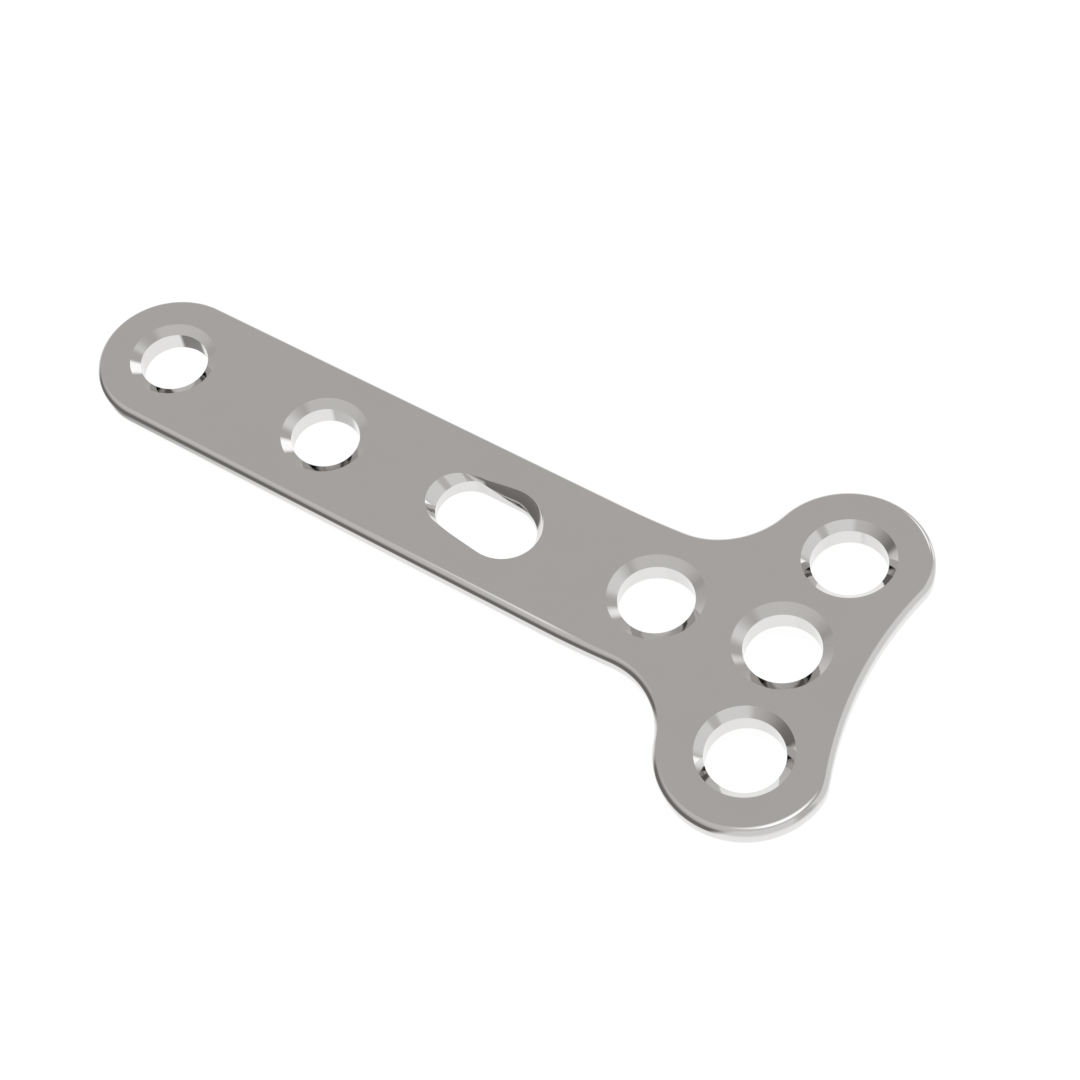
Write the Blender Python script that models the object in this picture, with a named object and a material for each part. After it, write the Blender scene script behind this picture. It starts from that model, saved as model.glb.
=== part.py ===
# A T-shaped orthopedic bone plate: one piece of metal, countersunk side up, the shaft flat on its underside
# and the head bent up. It is cut flat, drilled, countersunk and rounded, and the head is bent last.
import math
import bmesh
import bpy
from mathutils import Matrix, Vector

MM = 0.001

# Shaft
SHAFT_WIDTH = 10.0
THICKNESS = 1.7
# Head: two round lobes, the flares that join them to the shaft, and the hollow far edge between them
LOBE_RADIUS = 5.15
LOBE_X = 45.14
LOBE_Y = 6.9
FLARE_RADIUS = 5.15
HOLLOW_RADIUS = 24.7
HOLLOW_X = 49.23
CORNER_RADIUS = 2.69
# Rounding of the long edges
TOP_FILLET = 0.48
UNDER_FILLET = 0.8
FILLET_SEGMENTS = 6
# Round holes: distance from the end hole, offset from the middle line, rim and bore radii, countersink depth
END_HOLE_X = 0.0
SECOND_HOLE_X = 12.05
NECK_HOLE_X = 35.98
HEAD_HOLE_X = 44.21
SIDE_HOLE_X = 45.24
SIDE_HOLE_Y = 7.04
SHAFT_RIM_RADIUS = 2.83
SHAFT_BORE_RADIUS = 2.21
SHAFT_SINK_DEPTH = 0.38
NECK_RIM_RADIUS = 3.0
NECK_BORE_RADIUS = 2.345
NECK_SINK_DEPTH = 0.405
HEAD_RIM_RADIUS = 2.96
HEAD_BORE_RADIUS = 2.31
HEAD_SINK_DEPTH = 0.4
SIDE_RIM_RADIUS = 2.835
SIDE_BORE_RADIUS = 2.315
SIDE_SINK_DEPTH = 0.5
# Compression slot: a straight slot right through, and a seat that runs down into it towards the head, from a
# round ramp (its rim at the upper face and its foot lower down) to a ball
SLOT_HALF_WIDTH = 2.14
SLOT_START_X = 22.85
SLOT_END_X = 25.28
RAMP_RIM_X = 22.06
RAMP_RIM_RADIUS = 2.07
RAMP_FOOT_X = 22.87
RAMP_FOOT_RADIUS = 2.1
RAMP_FOOT_DEPTH = 0.67
BALL_X = 25.244
BALL_RADIUS = 2.576
BALL_HEIGHT = 0.162
# Bend of the head, measured along the flat plate
BEND_START_X = 30.97
BEND_LENGTH = 6.06
BEND_DEGREES = 11.9
BEND_STEPS = 12
# How far the cutters run past the faces that they cut
CUTTER_PAST = 1.0
# Sides of the round shapes
HOLE_SIDES = 72
ARC_STEP = 0.075
SEAT_SIDES = 72


def arc(centre, radius, start, end, most_step=ARC_STEP):
    """Points from one angle to another, both ends in, in steps of at most so many radians."""
    steps = max(2, math.ceil(abs(end - start) / most_step))
    return [
        (
            centre[0] + radius * math.cos(start + (end - start) * i / steps),
            centre[1] + radius * math.sin(start + (end - start) * i / steps),
        )
        for i in range(steps + 1)
    ]


def joined(*runs):
    """The runs one after another, without the point that two of them share."""
    points = []
    for run in runs:
        for point in run:
            if not points or math.dist(points[-1], point) > 1e-6:
                points.append(point)
    return points


def half_outline():
    """The edge of the flat plate on the +Y side, from the free end to the middle of the hollow edge."""
    half_width = SHAFT_WIDTH / 2
    end_cap = arc((END_HOLE_X, 0), half_width, math.pi, math.pi / 2)
    flare_y = half_width + FLARE_RADIUS
    reach = LOBE_RADIUS + FLARE_RADIUS
    flare_x = LOBE_X - math.sqrt(reach**2 - (flare_y - LOBE_Y) ** 2)
    to_lobe = math.atan2(LOBE_Y - flare_y, LOBE_X - flare_x)
    flare = arc((flare_x, flare_y), FLARE_RADIUS, -math.pi / 2, to_lobe)
    # The corner arc touches the lobe from inside and the hollow edge from outside.
    hollow_centre = (HOLLOW_X + HOLLOW_RADIUS, 0)
    inner = LOBE_RADIUS - CORNER_RADIUS
    outer = HOLLOW_RADIUS + CORNER_RADIUS
    dx, dy = hollow_centre[0] - LOBE_X, hollow_centre[1] - LOBE_Y
    apart = math.hypot(dx, dy)
    along = (inner**2 - outer**2 + apart**2) / (2 * apart)
    aside = math.sqrt(inner**2 - along**2)
    corner = (LOBE_X + (along * dx - aside * dy) / apart, LOBE_Y + (along * dy + aside * dx) / apart)
    lobe_start = math.atan2(flare_y - LOBE_Y, flare_x - LOBE_X)
    lobe_end = math.atan2(corner[1] - LOBE_Y, corner[0] - LOBE_X)
    lobe = arc((LOBE_X, LOBE_Y), LOBE_RADIUS, lobe_start, lobe_end)
    corner_end = math.atan2(-corner[1], hollow_centre[0] - corner[0])
    corner_arc = arc(corner, CORNER_RADIUS, lobe_end, corner_end)
    hollow_start = math.atan2(corner[1], corner[0] - hollow_centre[0])
    hollow = arc(hollow_centre, HOLLOW_RADIUS, hollow_start, math.pi, ARC_STEP / 3)
    return joined(end_cap, flare, lobe, corner_arc, hollow)


def collection(name):
    found = bpy.data.collections.get(name)
    if not found:
        found = bpy.data.collections.new(name)
        bpy.context.scene.collection.children.link(found)
    return found


def made_object(name, bm, where):
    mesh = bpy.data.meshes.new(name)
    bm.to_mesh(mesh)
    bm.free()
    obj = bpy.data.objects.new(name, mesh)
    collection(where).objects.link(obj)
    if where == "cutters":
        obj.hide_render = True
        obj.display_type = "WIRE"
    return obj


def prism(name, outline, bottom, top, where):
    bm = bmesh.new()
    face = bm.faces.new([bm.verts.new((x * MM, y * MM, bottom * MM)) for x, y in outline])
    raised = bmesh.ops.extrude_face_region(bm, geom=[face])["geom"]
    bmesh.ops.translate(
        bm, vec=(0, 0, (top - bottom) * MM), verts=[v for v in raised if isinstance(v, bmesh.types.BMVert)]
    )
    bmesh.ops.recalc_face_normals(bm, faces=bm.faces)
    return made_object(name, bm, where)


def turned(name, profile, sides):
    """A body turned about Z from a half profile of radius and height, closed on the axis at both ends."""
    bm = bmesh.new()
    verts = [bm.verts.new((r * MM, 0, z * MM)) for r, z in profile]
    edges = [bm.edges.new(pair) for pair in zip(verts, verts[1:])]
    bmesh.ops.spin(
        bm, geom=verts + edges, cent=(0, 0, 0), axis=(0, 0, 1), angle=2 * math.pi, steps=sides, use_merge=True
    )
    bmesh.ops.remove_doubles(bm, verts=bm.verts, dist=1e-7)
    bmesh.ops.recalc_face_normals(bm, faces=bm.faces)
    return made_object(name, bm, "cutters")


def flat_blank():
    """The outline cut from sheet, its upper edge and its under edge rounded."""
    upper = half_outline()
    outline = upper + [(x, -y) for x, y in reversed(upper[1:-1])]
    blank = prism("bone_plate", outline[::-1], 0, THICKNESS, "plate")
    bm = bmesh.new()
    bm.from_mesh(blank.data)
    for height, size in ((THICKNESS * MM, TOP_FILLET * MM), (0, UNDER_FILLET * MM)):
        rim = [e for e in bm.edges if all(abs(v.co.z - height) < 1e-7 for v in e.verts)]
        bmesh.ops.bevel(
            bm, geom=rim, offset=size, offset_type="OFFSET", segments=FILLET_SEGMENTS, profile=0.5,
            affect="EDGES", material=-1, clamp_overlap=False,
        )
    bm.to_mesh(blank.data)
    bm.free()
    return blank


def sunk_bore(name, x, y, rim, bore, depth):
    """A bore with a cone above it that opens to the rim radius at the upper face."""
    spread = (rim - bore) / depth
    top = THICKNESS + CUTTER_PAST
    profile = [
        (0, -CUTTER_PAST),
        (bore, -CUTTER_PAST),
        (bore, THICKNESS - depth),
        (rim + spread * CUTTER_PAST, top),
        (0, top),
    ]
    cutter = turned(name, profile, HOLE_SIDES)
    cutter.location = (x * MM, y * MM, 0)
    return cutter


def straight_slot():
    outline = joined(
        arc((SLOT_END_X, 0), SLOT_HALF_WIDTH, -math.pi / 2, math.pi / 2, math.pi / 36),
        arc((SLOT_START_X, 0), SLOT_HALF_WIDTH, math.pi / 2, 1.5 * math.pi, math.pi / 36),
    )
    return prism("slot_cutter", outline, -CUTTER_PAST, THICKNESS + CUTTER_PAST, "cutters")


def sloping_seat():
    """The ramp drawn out to the ball: the smallest rounded solid that holds the ramp's two circles and the ball."""
    bm = bmesh.new()
    for x, radius, height in (
        (RAMP_RIM_X, RAMP_RIM_RADIUS, CUTTER_PAST),
        (RAMP_RIM_X, RAMP_RIM_RADIUS, 0),
        (RAMP_FOOT_X, RAMP_FOOT_RADIUS, -RAMP_FOOT_DEPTH),
    ):
        place = Matrix.Translation(Vector((x, 0, THICKNESS + height)) * MM)
        bmesh.ops.create_circle(bm, segments=SEAT_SIDES, radius=radius * MM, matrix=place)
    place = Matrix.Translation(Vector((BALL_X, 0, THICKNESS + BALL_HEIGHT)) * MM)
    bmesh.ops.create_uvsphere(
        bm, u_segments=SEAT_SIDES, v_segments=SEAT_SIDES // 2, radius=BALL_RADIUS * MM, matrix=place
    )
    bmesh.ops.delete(bm, geom=bm.edges[:], context="EDGES_FACES")
    wrapped = bmesh.ops.convex_hull(bm, input=bm.verts[:])
    spare = {g for g in wrapped["geom_interior"] + wrapped["geom_unused"] if isinstance(g, bmesh.types.BMVert)}
    bmesh.ops.delete(bm, geom=list(spare), context="VERTS")
    bmesh.ops.recalc_face_normals(bm, faces=bm.faces)
    return made_object("seat_cutter", bm, "cutters")


def cut(body, cutter):
    modifier = body.modifiers.new(cutter.name, "BOOLEAN")
    modifier.operation = "DIFFERENCE"
    modifier.solver = "EXACT"
    modifier.object = cutter


def bent(point):
    """Where a point of the flat plate goes when the head is bent up about the upper face."""
    s, y, z = point.x / MM, point.y / MM, point.z / MM - THICKNESS
    angle = math.radians(BEND_DEGREES)
    radius = BEND_LENGTH / angle
    turn = min(max((s - BEND_START_X) / radius, 0), angle)
    past = max(s - BEND_START_X - BEND_LENGTH, 0)
    x = min(s, BEND_START_X) + radius * math.sin(turn) + past * math.cos(angle)
    rise = radius * (1 - math.cos(turn)) + past * math.sin(angle)
    return Vector((x - z * math.sin(turn), y, rise + z * math.cos(turn) + THICKNESS)) * MM


def bend_head(body):
    """Sections the plate across the bend, then bends it, and puts the middle of its box over the origin."""
    bm = bmesh.new()
    bm.from_mesh(body.data)
    for i in range(BEND_STEPS + 1):
        x = (BEND_START_X + BEND_LENGTH * i / BEND_STEPS) * MM
        bmesh.ops.bisect_plane(
            bm, geom=bm.verts[:] + bm.edges[:] + bm.faces[:], plane_co=(x, 0, 0), plane_no=(1, 0, 0), dist=2e-6
        )
    bmesh.ops.triangulate(bm, faces=bm.faces)
    for vert in bm.verts:
        vert.co = bent(vert.co)
    xs = [vert.co.x for vert in bm.verts]
    bmesh.ops.translate(bm, vec=(-(min(xs) + max(xs)) / 2, 0, 0), verts=bm.verts)
    bm.to_mesh(body.data)
    bm.free()


def steel():
    material = bpy.data.materials.new("satin_steel")
    material.use_nodes = True
    shader = material.node_tree.nodes["Principled BSDF"]
    shader.inputs["Base Color"].default_value = (0.55, 0.54, 0.52, 1)
    shader.inputs["Metallic"].default_value = 1
    shader.inputs["Roughness"].default_value = 0.18
    return material


for old in list(bpy.data.objects):
    bpy.data.objects.remove(old)

plate = flat_blank()
shaft_hole = (SHAFT_RIM_RADIUS, SHAFT_BORE_RADIUS, SHAFT_SINK_DEPTH)
side_hole = (SIDE_RIM_RADIUS, SIDE_BORE_RADIUS, SIDE_SINK_DEPTH)
for hole_cutter in (
    sunk_bore("end_hole_cutter", END_HOLE_X, 0, *shaft_hole),
    sunk_bore("second_hole_cutter", SECOND_HOLE_X, 0, *shaft_hole),
    sloping_seat(),
    straight_slot(),
    sunk_bore("neck_hole_cutter", NECK_HOLE_X, 0, NECK_RIM_RADIUS, NECK_BORE_RADIUS, NECK_SINK_DEPTH),
    sunk_bore("head_hole_cutter", HEAD_HOLE_X, 0, HEAD_RIM_RADIUS, HEAD_BORE_RADIUS, HEAD_SINK_DEPTH),
    sunk_bore("left_side_hole_cutter", SIDE_HOLE_X, SIDE_HOLE_Y, *side_hole),
    sunk_bore("right_side_hole_cutter", SIDE_HOLE_X, -SIDE_HOLE_Y, *side_hole),
):
    cut(plate, hole_cutter)

bpy.context.view_layer.update()
drilled = bpy.data.meshes.new_from_object(plate.evaluated_get(bpy.context.evaluated_depsgraph_get()))
plate.modifiers.clear()
plate.data = drilled
bend_head(plate)
plate.data.materials.clear()
plate.data.materials.append(steel())
plate.data.set_sharp_from_angle(angle=math.radians(30))
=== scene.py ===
# A T-shaped orthopedic bone plate, countersunk side up on a white studio floor: satin polished implant steel,
# cut from sheet, rounded along its edges, drilled, countersunk, slotted, and bent up at the head.
import math
import bmesh
import bpy
from mathutils import Euler, Matrix, Vector


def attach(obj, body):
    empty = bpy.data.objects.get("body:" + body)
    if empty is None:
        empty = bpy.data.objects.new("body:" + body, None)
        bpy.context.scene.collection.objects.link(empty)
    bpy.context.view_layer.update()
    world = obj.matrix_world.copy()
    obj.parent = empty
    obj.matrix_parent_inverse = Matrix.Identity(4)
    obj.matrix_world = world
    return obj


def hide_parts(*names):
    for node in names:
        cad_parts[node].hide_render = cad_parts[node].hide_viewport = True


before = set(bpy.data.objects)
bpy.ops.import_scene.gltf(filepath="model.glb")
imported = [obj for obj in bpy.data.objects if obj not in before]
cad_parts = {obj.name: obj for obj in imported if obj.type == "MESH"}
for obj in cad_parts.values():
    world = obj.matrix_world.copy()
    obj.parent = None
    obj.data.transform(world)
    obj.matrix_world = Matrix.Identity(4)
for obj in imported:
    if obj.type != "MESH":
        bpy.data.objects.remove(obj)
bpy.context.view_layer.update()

MM = 0.001

# Sizes in millimetres. Places along the plate are measured on the flat blank, from the end hole.
SHAFT_WIDTH = 10.0
THICKNESS = 1.7
# Head: two round lobes, the flares that join them to the shaft, and the hollow far edge between them
LOBE_RADIUS = 5.15
LOBE_X = 45.14
LOBE_Y = 6.9
FLARE_RADIUS = 5.15
HOLLOW_RADIUS = 24.7
HOLLOW_X = 49.23
CORNER_RADIUS = 2.69
# Rounding of the long edges
TOP_FILLET = 0.48
UNDER_FILLET = 0.8
# Each round hole: place along and across the plate, rim radius, bore radius, countersink depth
ROUND_HOLES = {
    "end": (0.0, 0.0, 2.83, 2.21, 0.38),
    "second": (12.05, 0.0, 2.83, 2.21, 0.38),
    "neck": (35.98, 0.0, 3.0, 2.345, 0.405),
    "head": (44.21, 0.0, 2.96, 2.31, 0.43),
    "left_side": (45.24, 7.04, 2.835, 2.315, 0.5),
    "right_side": (45.24, -7.04, 2.835, 2.315, 0.5),
}
# Compression slot: straight, right through the plate, with a seat above it that slopes down towards the head
# from a round ramp (its rim at the upper face and its round-cornered foot lower down) to a ball
SLOT_HALF_WIDTH = 2.14
SLOT_START_X = 22.85
SLOT_END_X = 25.28
RAMP_RIM_X = 22.04
RAMP_RIM_RADIUS = 2.052
RAMP_FOOT_X = 23.146
RAMP_FOOT_RADIUS = 2.28
RAMP_FOOT_ROUNDING = 1.8
BALL_X = 25.25
BALL_RADIUS = 2.57
BALL_HEIGHT = 0.158
# Bend of the head
BEND_START_X = 30.97
BEND_LENGTH = 6.06
BEND_ANGLE = math.radians(11.9)
# How far the cutters run past the faces that they cut
CUTTER_PAST = 1.0

# How finely round shapes are made
ARC_STEP = math.radians(2)
FILLET_SEGMENTS = 16
HOLE_SIDES = 180
SEAT_SIDES = 144
FOOT_STEPS = 24
BEND_STEPS = 36
# An edge that turns by more than this stays crisp.
CRISP_ANGLE = math.radians(8)
# Distances in metres: points as near as this are one in a new shape, along a cut edge, and on a plane that
# mirrors the outline or divides the bend
SAME_POINT = 1e-7
CUT_EDGE = 2e-7
ON_PLANE = 2e-6

# Steel: the buffing clouds are 3 mm across. The polishing lines are 3 mm long and 0.08 mm apart, which is
# coarser than the real ones, so that they show close up. Both are counted per metre, the lines along X, Y
# and Z. The lines' depth is in millimetres, and the roughness runs from the glossiest spots to the dullest.
CLOUDS_PER_METRE = 330
LINES_PER_METRE = (330, 12000, 12000)
LINE_DEPTH = 0.0004
GLOSSIEST, DULLEST = 0.03, 0.055

# Camera in millimetres from the end hole and the upper face, and how it is tilted and turned, in degrees
CAMERA_PLACE = (50.9127, -39.7688, 79.7511)
CAMERA_TILT = 30
CAMERA_TURN = 30

# Floor: how far under the plate it lies in millimetres, its radius in metres, the white that it has by
# itself, the white that it takes from the lights and a shadow takes away, and what it throws at the plate
FLOOR_DROP = 0.01
FLOOR_RADIUS = 3
FLOOR_GLOW = 0.88
FLOOR_WHITE = 0.22
FLOOR_BOUNCE = 0.8

# The room that the steel mirrors: the grey of each side by elevation in degrees, from below to above
ROOM_SIDES = {
    "near": (
        (-58, 1.0), (-50, 0.22), (-5, 0.17), (1, 0.2), (6, 0.23),
        (12, 0.33), (20, 0.47), (30, 0.585), (42, 0.64), (62, 0.655),
    ),
    "far": ((-25, 1.02), (-18, 0.95), (-8, 0.75), (3, 0.53), (8, 0.505), (20, 0.508), (60, 0.508)),
    "wall": ((-45, 1.04), (-20, 0.88), (-5, 0.8), (25, 0.8), (40, 0.82)),
    "corner": ((-45, 1.04), (-20, 0.84), (-2, 0.56), (10, 0.57), (40, 0.58)),
}
# The share of its green and of its blue that a grey loses as it goes from white to black
GREEN_LOSS, BLUE_LOSS = 0.06, 0.12
# The far side turns into the near side between these values of a direction's Y.
FAR_SIDE_Y, NEAR_SIDE_Y = 0.05, -0.2
# The pale wall at the head end and the dim corner in it: azimuth, elevation, and how far from there each is
# whole and has faded, in degrees. The wall also fades into the ceiling, between two elevations.
WALL = (-15, 0, 65, 81)
CORNER = (-8, 0, 3, 15)
CEILING_STARTS, CEILING_WHOLE = 44, 62
# Soft lights in the same terms, each with its strength
SOFT_LIGHTS = (
    (0, 90, 8, 23, 1.12),
    (-20, 84, 10, 16, 1.38),
    (87, 25, 6, 14, 1.33),
    (66, 5, 4, 10, 1.33),
)
# The lamp that casts the shadow: metres across, watts, and its place in metres
SOFTBOX_ACROSS = 0.43
SOFTBOX_WATTS = 0.65
SOFTBOX_PLACE = (0.01, 0, 0.6)


def made(name, bm):
    """Turns a bmesh into an object of the scene."""
    mesh = bpy.data.meshes.new(name)
    bm.to_mesh(mesh)
    bm.free()
    obj = bpy.data.objects.new(name, mesh)
    bpy.context.scene.collection.objects.link(obj)
    return obj


def verts_of(geometry):
    """The points among what an operator gives back."""
    return [g for g in geometry if isinstance(g, bmesh.types.BMVert)]


def swing(bm, vert, centre, turn):
    """Draws an arc from a point by swinging it round a centre, and gives back its far end."""
    steps = max(2, math.ceil(abs(turn) / ARC_STEP))
    swept = bmesh.ops.spin(
        bm, geom=[vert], cent=(centre[0] * MM, centre[1] * MM, 0), axis=(0, 0, 1), angle=turn, steps=steps
    )
    return verts_of(swept["geom_last"])[0]


def raised(bm, height):
    """Fills a flat outline and extrudes it up into a block."""
    face = bmesh.ops.contextual_create(bm, geom=bm.edges[:])["faces"][0]
    lifted = bmesh.ops.extrude_face_region(bm, geom=[face])["geom"]
    bmesh.ops.translate(bm, vec=(0, 0, height * MM), verts=verts_of(lifted))
    bmesh.ops.recalc_face_normals(bm, faces=bm.faces)


def angle_to(centre, point):
    """The direction of a point seen from a centre, in radians from X."""
    return math.atan2(point[1] - centre[1], point[0] - centre[0])


def flat_blank():
    """The T outline, swung arc by arc and mirrored, raised to the sheet's thickness and rounded."""
    half_width = SHAFT_WIDTH / 2
    flare_y = half_width + FLARE_RADIUS
    flare_x = LOBE_X - math.sqrt((LOBE_RADIUS + FLARE_RADIUS) ** 2 - (flare_y - LOBE_Y) ** 2)
    flare, lobe, hollow = (flare_x, flare_y), (LOBE_X, LOBE_Y), (HOLLOW_X + HOLLOW_RADIUS, 0)
    # The corner arc touches the lobe from inside and the hollow edge from outside.
    inner, outer = LOBE_RADIUS - CORNER_RADIUS, HOLLOW_RADIUS + CORNER_RADIUS
    dx, dy = hollow[0] - lobe[0], hollow[1] - lobe[1]
    apart = math.hypot(dx, dy)
    along = (inner**2 - outer**2 + apart**2) / (2 * apart)
    aside = math.sqrt(inner**2 - along**2)
    corner = (lobe[0] + (along * dx - aside * dy) / apart, lobe[1] + (along * dy + aside * dx) / apart)
    to_lobe, lobe_start = angle_to(flare, lobe), angle_to(lobe, flare)
    lobe_end, corner_end = angle_to(lobe, corner), angle_to(corner, hollow)

    bm = bmesh.new()
    start = bm.verts.new((-half_width * MM, 0, 0))
    shoulder = swing(bm, start, (0, 0), -math.pi / 2)
    neck = bm.verts.new((flare_x * MM, half_width * MM, 0))
    bm.edges.new((shoulder, neck))
    tip = swing(bm, neck, flare, to_lobe + math.pi / 2)
    tip = swing(bm, tip, lobe, lobe_end - lobe_start)
    tip = swing(bm, tip, corner, corner_end - lobe_end)
    swing(bm, tip, hollow, math.pi - angle_to(hollow, corner))
    bmesh.ops.mirror(bm, geom=bm.verts[:] + bm.edges[:], axis="Y", merge_dist=ON_PLANE)
    raised(bm, THICKNESS)
    for height, size in ((THICKNESS * MM, TOP_FILLET * MM), (0, UNDER_FILLET * MM)):
        rim = [e for e in bm.edges if all(abs(v.co.z - height) < SAME_POINT for v in e.verts)]
        bmesh.ops.bevel(
            bm, geom=rim, offset=size, offset_type="OFFSET", segments=FILLET_SEGMENTS, profile=0.5,
            affect="EDGES", material=-1, clamp_overlap=False,
        )
    return made("plate", bm)


def turned(name, profile):
    """A tool turned about Z from a profile of radius and height, closed on the axis at both ends."""
    bm = bmesh.new()
    verts = [bm.verts.new((r * MM, 0, z * MM)) for r, z in profile]
    edges = [bm.edges.new(pair) for pair in zip(verts, verts[1:])]
    bmesh.ops.spin(
        bm, geom=verts + edges, cent=(0, 0, 0), axis=(0, 0, 1),
        angle=2 * math.pi, steps=HOLE_SIDES, use_merge=True,
    )
    bmesh.ops.remove_doubles(bm, verts=bm.verts, dist=SAME_POINT)
    bmesh.ops.recalc_face_normals(bm, faces=bm.faces)
    return made(name, bm)


def countersink(name, x, y, rim, bore, depth):
    """A drill with a cone above it that opens to the rim at the upper face."""
    spread = (rim - bore) / depth
    top = THICKNESS + CUTTER_PAST
    profile = [
        (0, -CUTTER_PAST),
        (bore, -CUTTER_PAST),
        (bore, THICKNESS - depth),
        (rim + spread * CUTTER_PAST, top),
        (0, top),
    ]
    tool = turned(name, profile)
    tool.location = (x * MM, y * MM, 0)
    return tool


def slot_cutter():
    """A straight cutter with round ends, right through the plate."""
    bm = bmesh.new()
    start = bm.verts.new((SLOT_END_X * MM, -SLOT_HALF_WIDTH * MM, -CUTTER_PAST * MM))
    up = swing(bm, start, (SLOT_END_X, 0), math.pi)
    across = bm.verts.new((SLOT_START_X * MM, SLOT_HALF_WIDTH * MM, -CUTTER_PAST * MM))
    bm.edges.new((up, across))
    end = swing(bm, across, (SLOT_START_X, 0), math.pi)
    bm.edges.new((end, start))
    raised(bm, THICKNESS + 2 * CUTTER_PAST)
    return made("slot_cutter", bm)


def seat_cutter():
    """The sloping seat: one convex surface wrapped round the ramp's rings and the ball."""
    rings = [(RAMP_RIM_X, RAMP_RIM_RADIUS, CUTTER_PAST), (RAMP_RIM_X, RAMP_RIM_RADIUS, 0)]
    for i in range(FOOT_STEPS + 1):
        down = math.pi / 2 * i / FOOT_STEPS
        inset = RAMP_FOOT_ROUNDING * (1 - math.cos(down))
        rings.append((RAMP_FOOT_X, RAMP_FOOT_RADIUS - inset, -RAMP_FOOT_ROUNDING * math.sin(down)))
    bm = bmesh.new()
    for x, radius, height in rings:
        place = Matrix.Translation(Vector((x, 0, THICKNESS + height)) * MM)
        bmesh.ops.create_circle(bm, segments=SEAT_SIDES, radius=radius * MM, matrix=place)
    place = Matrix.Translation(Vector((BALL_X, 0, THICKNESS + BALL_HEIGHT)) * MM)
    bmesh.ops.create_uvsphere(
        bm, u_segments=SEAT_SIDES, v_segments=SEAT_SIDES // 2, radius=BALL_RADIUS * MM, matrix=place
    )
    bmesh.ops.delete(bm, geom=bm.edges[:], context="EDGES_FACES")
    wrapped = bmesh.ops.convex_hull(bm, input=bm.verts[:])
    spare = set(verts_of(wrapped["geom_interior"] + wrapped["geom_unused"]))
    bmesh.ops.delete(bm, geom=list(spare), context="VERTS")
    bmesh.ops.recalc_face_normals(bm, faces=bm.faces)
    return made("seat_cutter", bm)


def bent(point):
    """Where a point of the flat plate goes when the head is bent up about the upper face."""
    s, z = point.x / MM, point.z / MM - THICKNESS
    radius = BEND_LENGTH / BEND_ANGLE
    turn = min(max((s - BEND_START_X) / radius, 0), BEND_ANGLE)
    past = max(s - BEND_START_X - BEND_LENGTH, 0)
    x = min(s, BEND_START_X) + radius * math.sin(turn) + past * math.cos(BEND_ANGLE)
    rise = radius * (1 - math.cos(turn)) + past * math.sin(BEND_ANGLE)
    return Vector(((x - z * math.sin(turn)) * MM, point.y, (rise + z * math.cos(turn) + THICKNESS) * MM))


def drilled_and_bent(plate, tools):
    """Cuts the holes, bends the head and centres the plate, and gives back how far that moved it along X."""
    for tool in tools:
        cut = plate.modifiers.new(tool.name, "BOOLEAN")
        cut.operation, cut.solver, cut.object = "DIFFERENCE", "EXACT", tool
    bpy.context.view_layer.update()
    drilled = bpy.data.meshes.new_from_object(plate.evaluated_get(bpy.context.evaluated_depsgraph_get()))
    plate.modifiers.clear()
    for tool in tools:
        bpy.data.objects.remove(tool)
    bm = bmesh.new()
    bm.from_mesh(drilled)
    for i in range(BEND_STEPS + 1):
        section_x = (BEND_START_X + BEND_LENGTH * i / BEND_STEPS) * MM
        bmesh.ops.bisect_plane(
            bm, geom=bm.verts[:] + bm.edges[:] + bm.faces[:],
            plane_co=(section_x, 0, 0), plane_no=(1, 0, 0), dist=ON_PLANE,
        )
    bmesh.ops.remove_doubles(bm, verts=bm.verts, dist=CUT_EDGE)
    bmesh.ops.triangulate(bm, faces=[f for f in bm.faces if len(f.verts) > 4])
    for vert in bm.verts:
        vert.co = bent(vert.co)
    xs = [vert.co.x for vert in bm.verts]
    shift = -(min(xs) + max(xs)) / 2
    bmesh.ops.translate(bm, vec=(shift, 0, 0), verts=bm.verts)
    for face in bm.faces:
        face.smooth = True
    bm.to_mesh(plate.data)
    bm.free()
    plate.data.set_sharp_from_angle(angle=CRISP_ANGLE)
    # The broad flat faces decide the normals at their edges, so that they mirror the room without a ripple.
    weighted = plate.modifiers.new("face weighted normals", "WEIGHTED_NORMAL")
    weighted.keep_sharp = True
    weighted.weight = 100
    return shift


def add_node(tree, kind, settings=None, **inputs):
    """Adds a node with its settings, and fills or links its inputs, named or given as i and a number."""
    node = tree.nodes.new(kind)
    for key, value in (settings or {}).items():
        setattr(node, key, value)
    for key, value in inputs.items():
        socket = node.inputs[int(key[1:]) if key[0] == "i" and key[1:].isdigit() else key.replace("_", " ")]
        if isinstance(value, bpy.types.NodeSocket):
            tree.links.new(value, socket)
        else:
            socket.default_value = value
    return node


# Settings that several nodes take
COLOUR_MIX = {"data_type": "RGBA"}
SMOOTH = {"interpolation_type": "SMOOTHSTEP"}


def srgb(code):
    """A hex colour as a linear one."""
    parts = [int(code[i : i + 2], 16) / 255 for i in (1, 3, 5)]
    return tuple(c / 12.92 if c <= 0.04045 else ((c + 0.055) / 1.055) ** 2.4 for c in parts) + (1.0,)


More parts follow.
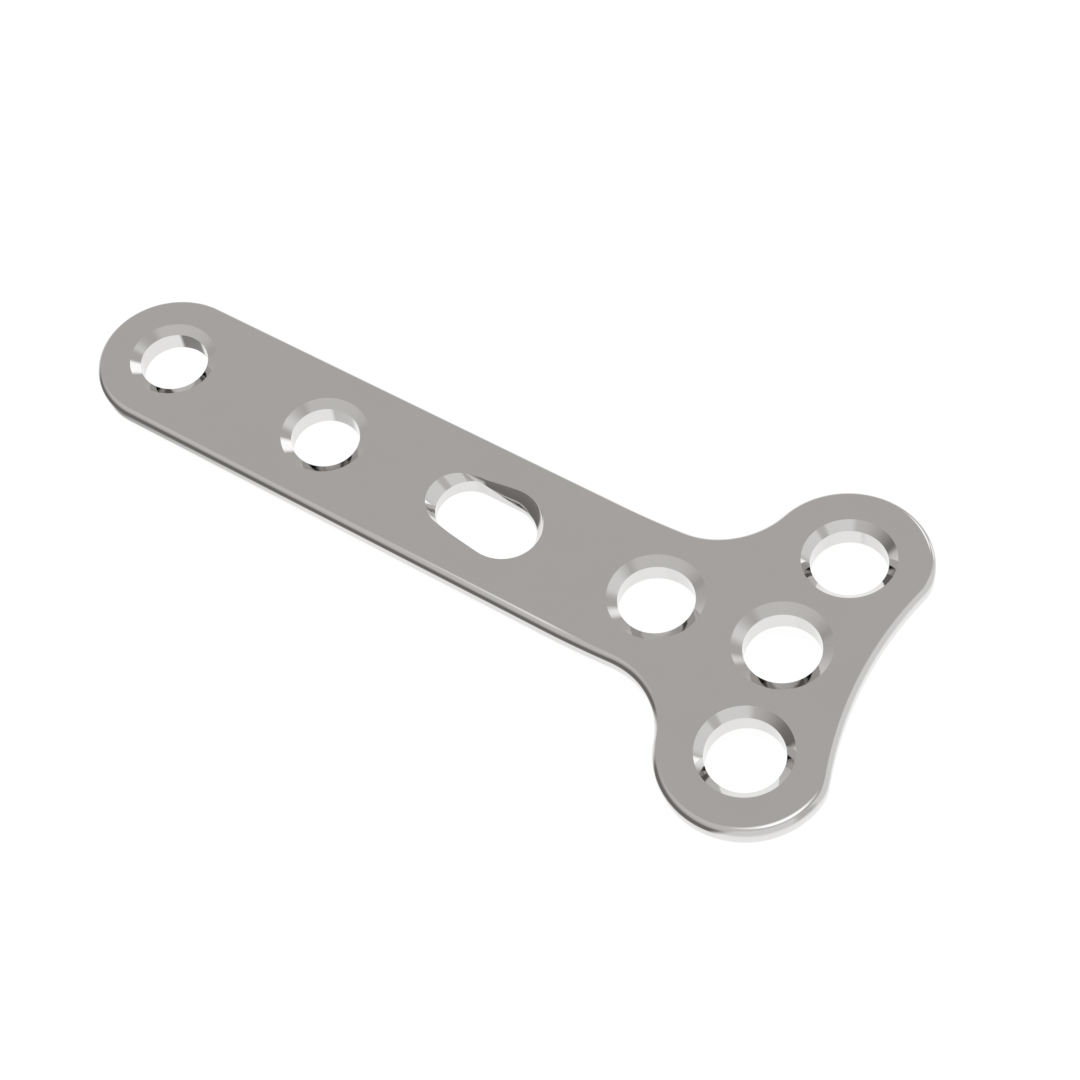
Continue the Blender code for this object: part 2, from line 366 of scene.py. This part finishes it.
def satin_steel():
    """Polished implant steel: it mirrors the room softly, with a gloss that is not quite even."""
    material = bpy.data.materials.new("satin_polished_implant_steel")
    material.use_nodes = True
    tree = material.node_tree
    shader = tree.nodes["Principled BSDF"]
    shader.inputs["Metallic"].default_value = 1
    where = add_node(tree, "ShaderNodeTexCoord").outputs["Object"]
    # Clouds left by the buffing wheel: the gloss and the tone of the steel drift a little over them. Their
    # noise stays mostly between 0.3 and 0.7.
    clouds = add_node(
        tree, "ShaderNodeTexNoise", Vector=where, Scale=CLOUDS_PER_METRE, Detail=3, Roughness=0.5
    )
    gloss = add_node(
        tree, "ShaderNodeMapRange", Value=clouds.outputs["Fac"],
        From_Min=0.3, From_Max=0.7, To_Min=GLOSSIEST, To_Max=DULLEST,
    )
    tone = add_node(
        tree, "ShaderNodeMix", COLOUR_MIX,
        i0=clouds.outputs["Fac"], i6=srgb("#dfdedd"), i7=srgb("#dddcdb"),
    )
    # The lay of the polishing lines, along the shaft: it roughens what the steel mirrors when seen close up.
    lay = add_node(tree, "ShaderNodeMapping", Vector=where, Scale=LINES_PER_METRE)
    lines = add_node(tree, "ShaderNodeTexNoise", Vector=lay.outputs[0], Scale=1, Detail=2)
    relief = add_node(
        tree, "ShaderNodeBump", Height=lines.outputs["Fac"], Strength=0.5, Distance=LINE_DEPTH * MM
    )
    tree.links.new(tone.outputs[2], shader.inputs["Base Color"])
    tree.links.new(gloss.outputs[0], shader.inputs["Roughness"])
    tree.links.new(relief.outputs[0], shader.inputs["Normal"])
    return material


def photo_camera(shift):
    """A 50 mm lens, turned 30 degrees from the plate's length and looking down on it at 60 degrees."""
    camera = bpy.data.objects.new("camera", bpy.data.cameras.new("camera"))
    bpy.context.scene.collection.objects.link(camera)
    camera.data.lens = 50
    camera.data.sensor_width = 36
    camera.data.clip_start = 0.001
    camera.data.clip_end = 10
    camera.rotation_euler = Euler((math.radians(CAMERA_TILT), 0, math.radians(CAMERA_TURN)))
    x, y, z = CAMERA_PLACE
    camera.location = (x * MM + shift, y * MM, (z + THICKNESS) * MM)
    bpy.context.scene.camera = camera


def white_floor():
    """A white floor a hair under the plate. Seen from below it is clear, so that the underside shows."""
    bm = bmesh.new()
    place = Matrix.Translation((0, 0, -FLOOR_DROP * MM))
    bmesh.ops.create_circle(bm, cap_ends=True, segments=128, radius=FLOOR_RADIUS, matrix=place)
    floor = made("floor", bm)
    material = bpy.data.materials.new("white_studio_floor")
    material.use_nodes = True
    tree = material.node_tree
    tree.nodes.clear()
    path = add_node(tree, "ShaderNodeLightPath")
    seen = path.outputs["Is Camera Ray"]
    for ray in ("Is Glossy Ray", "Is Transmission Ray"):
        either = add_node(tree, "ShaderNodeMath", {"operation": "MAXIMUM"}, i0=seen, i1=path.outputs[ray])
        seen = either.outputs[0]
    # What is seen of it is nearly white by itself. The lights add the rest, which a shadow takes away again.
    glow = add_node(tree, "ShaderNodeEmission", Color=(1, 1, 1, 1), Strength=FLOOR_GLOW)
    matt = add_node(tree, "ShaderNodeBsdfDiffuse", Color=(FLOOR_WHITE, FLOOR_WHITE, FLOOR_WHITE, 1))
    shown = add_node(tree, "ShaderNodeAddShader", i0=glow.outputs[0], i1=matt.outputs[0])
    unseen = add_node(tree, "ShaderNodeBsdfDiffuse", Color=(FLOOR_BOUNCE, FLOOR_BOUNCE, FLOOR_BOUNCE, 1))
    top = add_node(tree, "ShaderNodeMixShader", i0=seen, i1=unseen.outputs[0], i2=shown.outputs[0])
    below = add_node(tree, "ShaderNodeNewGeometry").outputs["Backfacing"]
    clear = add_node(tree, "ShaderNodeBsdfTransparent")
    one_way = add_node(tree, "ShaderNodeMixShader", i0=below, i1=top.outputs[0], i2=clear.outputs[0])
    add_node(tree, "ShaderNodeOutputMaterial", Surface=one_way.outputs[0])
    floor.data.materials.append(material)
    # The metal mirrors the lower half of the room in place of the floor.
    floor.visible_glossy = False


def side_colours(tree, height):
    """Each side of the room as a colour by height: warm where it is dark, neutral where it is white."""
    along_ramp = add_node(tree, "ShaderNodeMapRange", Value=height, From_Min=-1, From_Max=1)
    colours = {}
    for side, stops in ROOM_SIDES.items():
        ramp = add_node(tree, "ShaderNodeValToRGB", Fac=along_ramp.outputs[0])
        marks = ramp.color_ramp.elements
        while len(marks) < len(stops):
            marks.new(0.5)
        for mark, (elevation, grey) in zip(marks, stops):
            dark = 1 - min(grey, 1)
            mark.position = (math.sin(math.radians(elevation)) + 1) / 2
            mark.color = (grey, grey * (1 - GREEN_LOSS * dark), grey * (1 - BLUE_LOSS * dark), 1)
        colours[side] = ramp.outputs["Color"]
    return colours


def share_near(tree, ray, azimuth, elevation, whole, faded):
    """The share that a part of the room has in a ray: 1 near its middle, falling to 0 where it has faded."""
    middle = Euler((0, math.radians(-elevation), math.radians(azimuth))).to_matrix() @ Vector((1, 0, 0))
    facing = add_node(tree, "ShaderNodeVectorMath", {"operation": "DOT_PRODUCT"}, i0=ray, i1=middle)
    share = add_node(
        tree, "ShaderNodeMapRange", SMOOTH, Value=facing.outputs["Value"],
        From_Min=math.cos(math.radians(faded)), From_Max=math.cos(math.radians(whole)),
    )
    return share.outputs[0]


def studio_world():
    """A warm grey studio with a pale wall at the head end, a dark near side and soft lights."""
    world = bpy.data.worlds.new("studio")
    bpy.context.scene.world = world
    world.use_nodes = True
    tree = world.node_tree
    tree.nodes.clear()
    ray = add_node(tree, "ShaderNodeTexCoord").outputs["Generated"]
    parts = add_node(tree, "ShaderNodeSeparateXYZ", Vector=ray)
    colours = side_colours(tree, parts.outputs["Z"])
    near = add_node(
        tree, "ShaderNodeMapRange", SMOOTH, Value=parts.outputs["Y"],
        From_Min=FAR_SIDE_Y, From_Max=NEAR_SIDE_Y,
    )
    room = add_node(
        tree, "ShaderNodeMix", COLOUR_MIX, i0=near.outputs[0], i6=colours["far"], i7=colours["near"]
    )

    # The wall and its corner stand upright, so only a ray's level direction counts.
    flat = add_node(tree, "ShaderNodeVectorMath", {"operation": "MULTIPLY"}, i0=ray, i1=(1, 1, 0))
    level = add_node(tree, "ShaderNodeVectorMath", {"operation": "NORMALIZE"}, i0=flat.outputs[0]).outputs[0]
    wall = add_node(
        tree, "ShaderNodeMix", COLOUR_MIX,
        i0=share_near(tree, level, *CORNER), i6=colours["wall"], i7=colours["corner"],
    )
    under_ceiling = add_node(
        tree, "ShaderNodeMapRange", SMOOTH, Value=parts.outputs["Z"],
        From_Min=math.sin(math.radians(CEILING_WHOLE)), From_Max=math.sin(math.radians(CEILING_STARTS)),
    )
    wall_share = add_node(
        tree, "ShaderNodeMath", {"operation": "MULTIPLY"},
        i0=share_near(tree, level, *WALL), i1=under_ceiling.outputs[0],
    )
    room = add_node(
        tree, "ShaderNodeMix", COLOUR_MIX, i0=wall_share.outputs[0], i6=room.outputs[2], i7=wall.outputs[2]
    )

    for *place, strength in SOFT_LIGHTS:
        room = add_node(
            tree, "ShaderNodeMix", COLOUR_MIX,
            i0=share_near(tree, ray, *place), i6=room.outputs[2], i7=(strength, strength, strength, 1),
        )
    # The room is seen only in the metal: behind the plate it is plain white.
    direct = add_node(tree, "ShaderNodeLightPath").outputs["Is Camera Ray"]
    room = add_node(tree, "ShaderNodeMix", COLOUR_MIX, i0=direct, i6=room.outputs[2], i7=(1, 1, 1, 1))
    sky = add_node(tree, "ShaderNodeBackground", Color=room.outputs[2])
    add_node(tree, "ShaderNodeOutputWorld", Surface=sky.outputs[0])


def ceiling_softbox():
    """A round soft light above the plate, for its shadow: the world holds its reflection."""
    light = bpy.data.lights.new("ceiling_softbox", "AREA")
    light.shape = "DISK"
    light.size = SOFTBOX_ACROSS
    light.energy = SOFTBOX_WATTS
    obj = bpy.data.objects.new("ceiling_softbox", light)
    obj.location = SOFTBOX_PLACE
    obj.visible_glossy = False
    bpy.context.scene.collection.objects.link(obj)


plate = flat_blank()
tools = [countersink(name, *hole) for name, hole in ROUND_HOLES.items()] + [seat_cutter(), slot_cutter()]
shift = drilled_and_bent(plate, tools)
plate.data.materials.append(satin_steel())
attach(plate, "root")
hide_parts("bone_plate")

photo_camera(shift)
white_floor()
studio_world()
ceiling_softbox()
bpy.context.scene.view_settings.view_transform = "Standard"
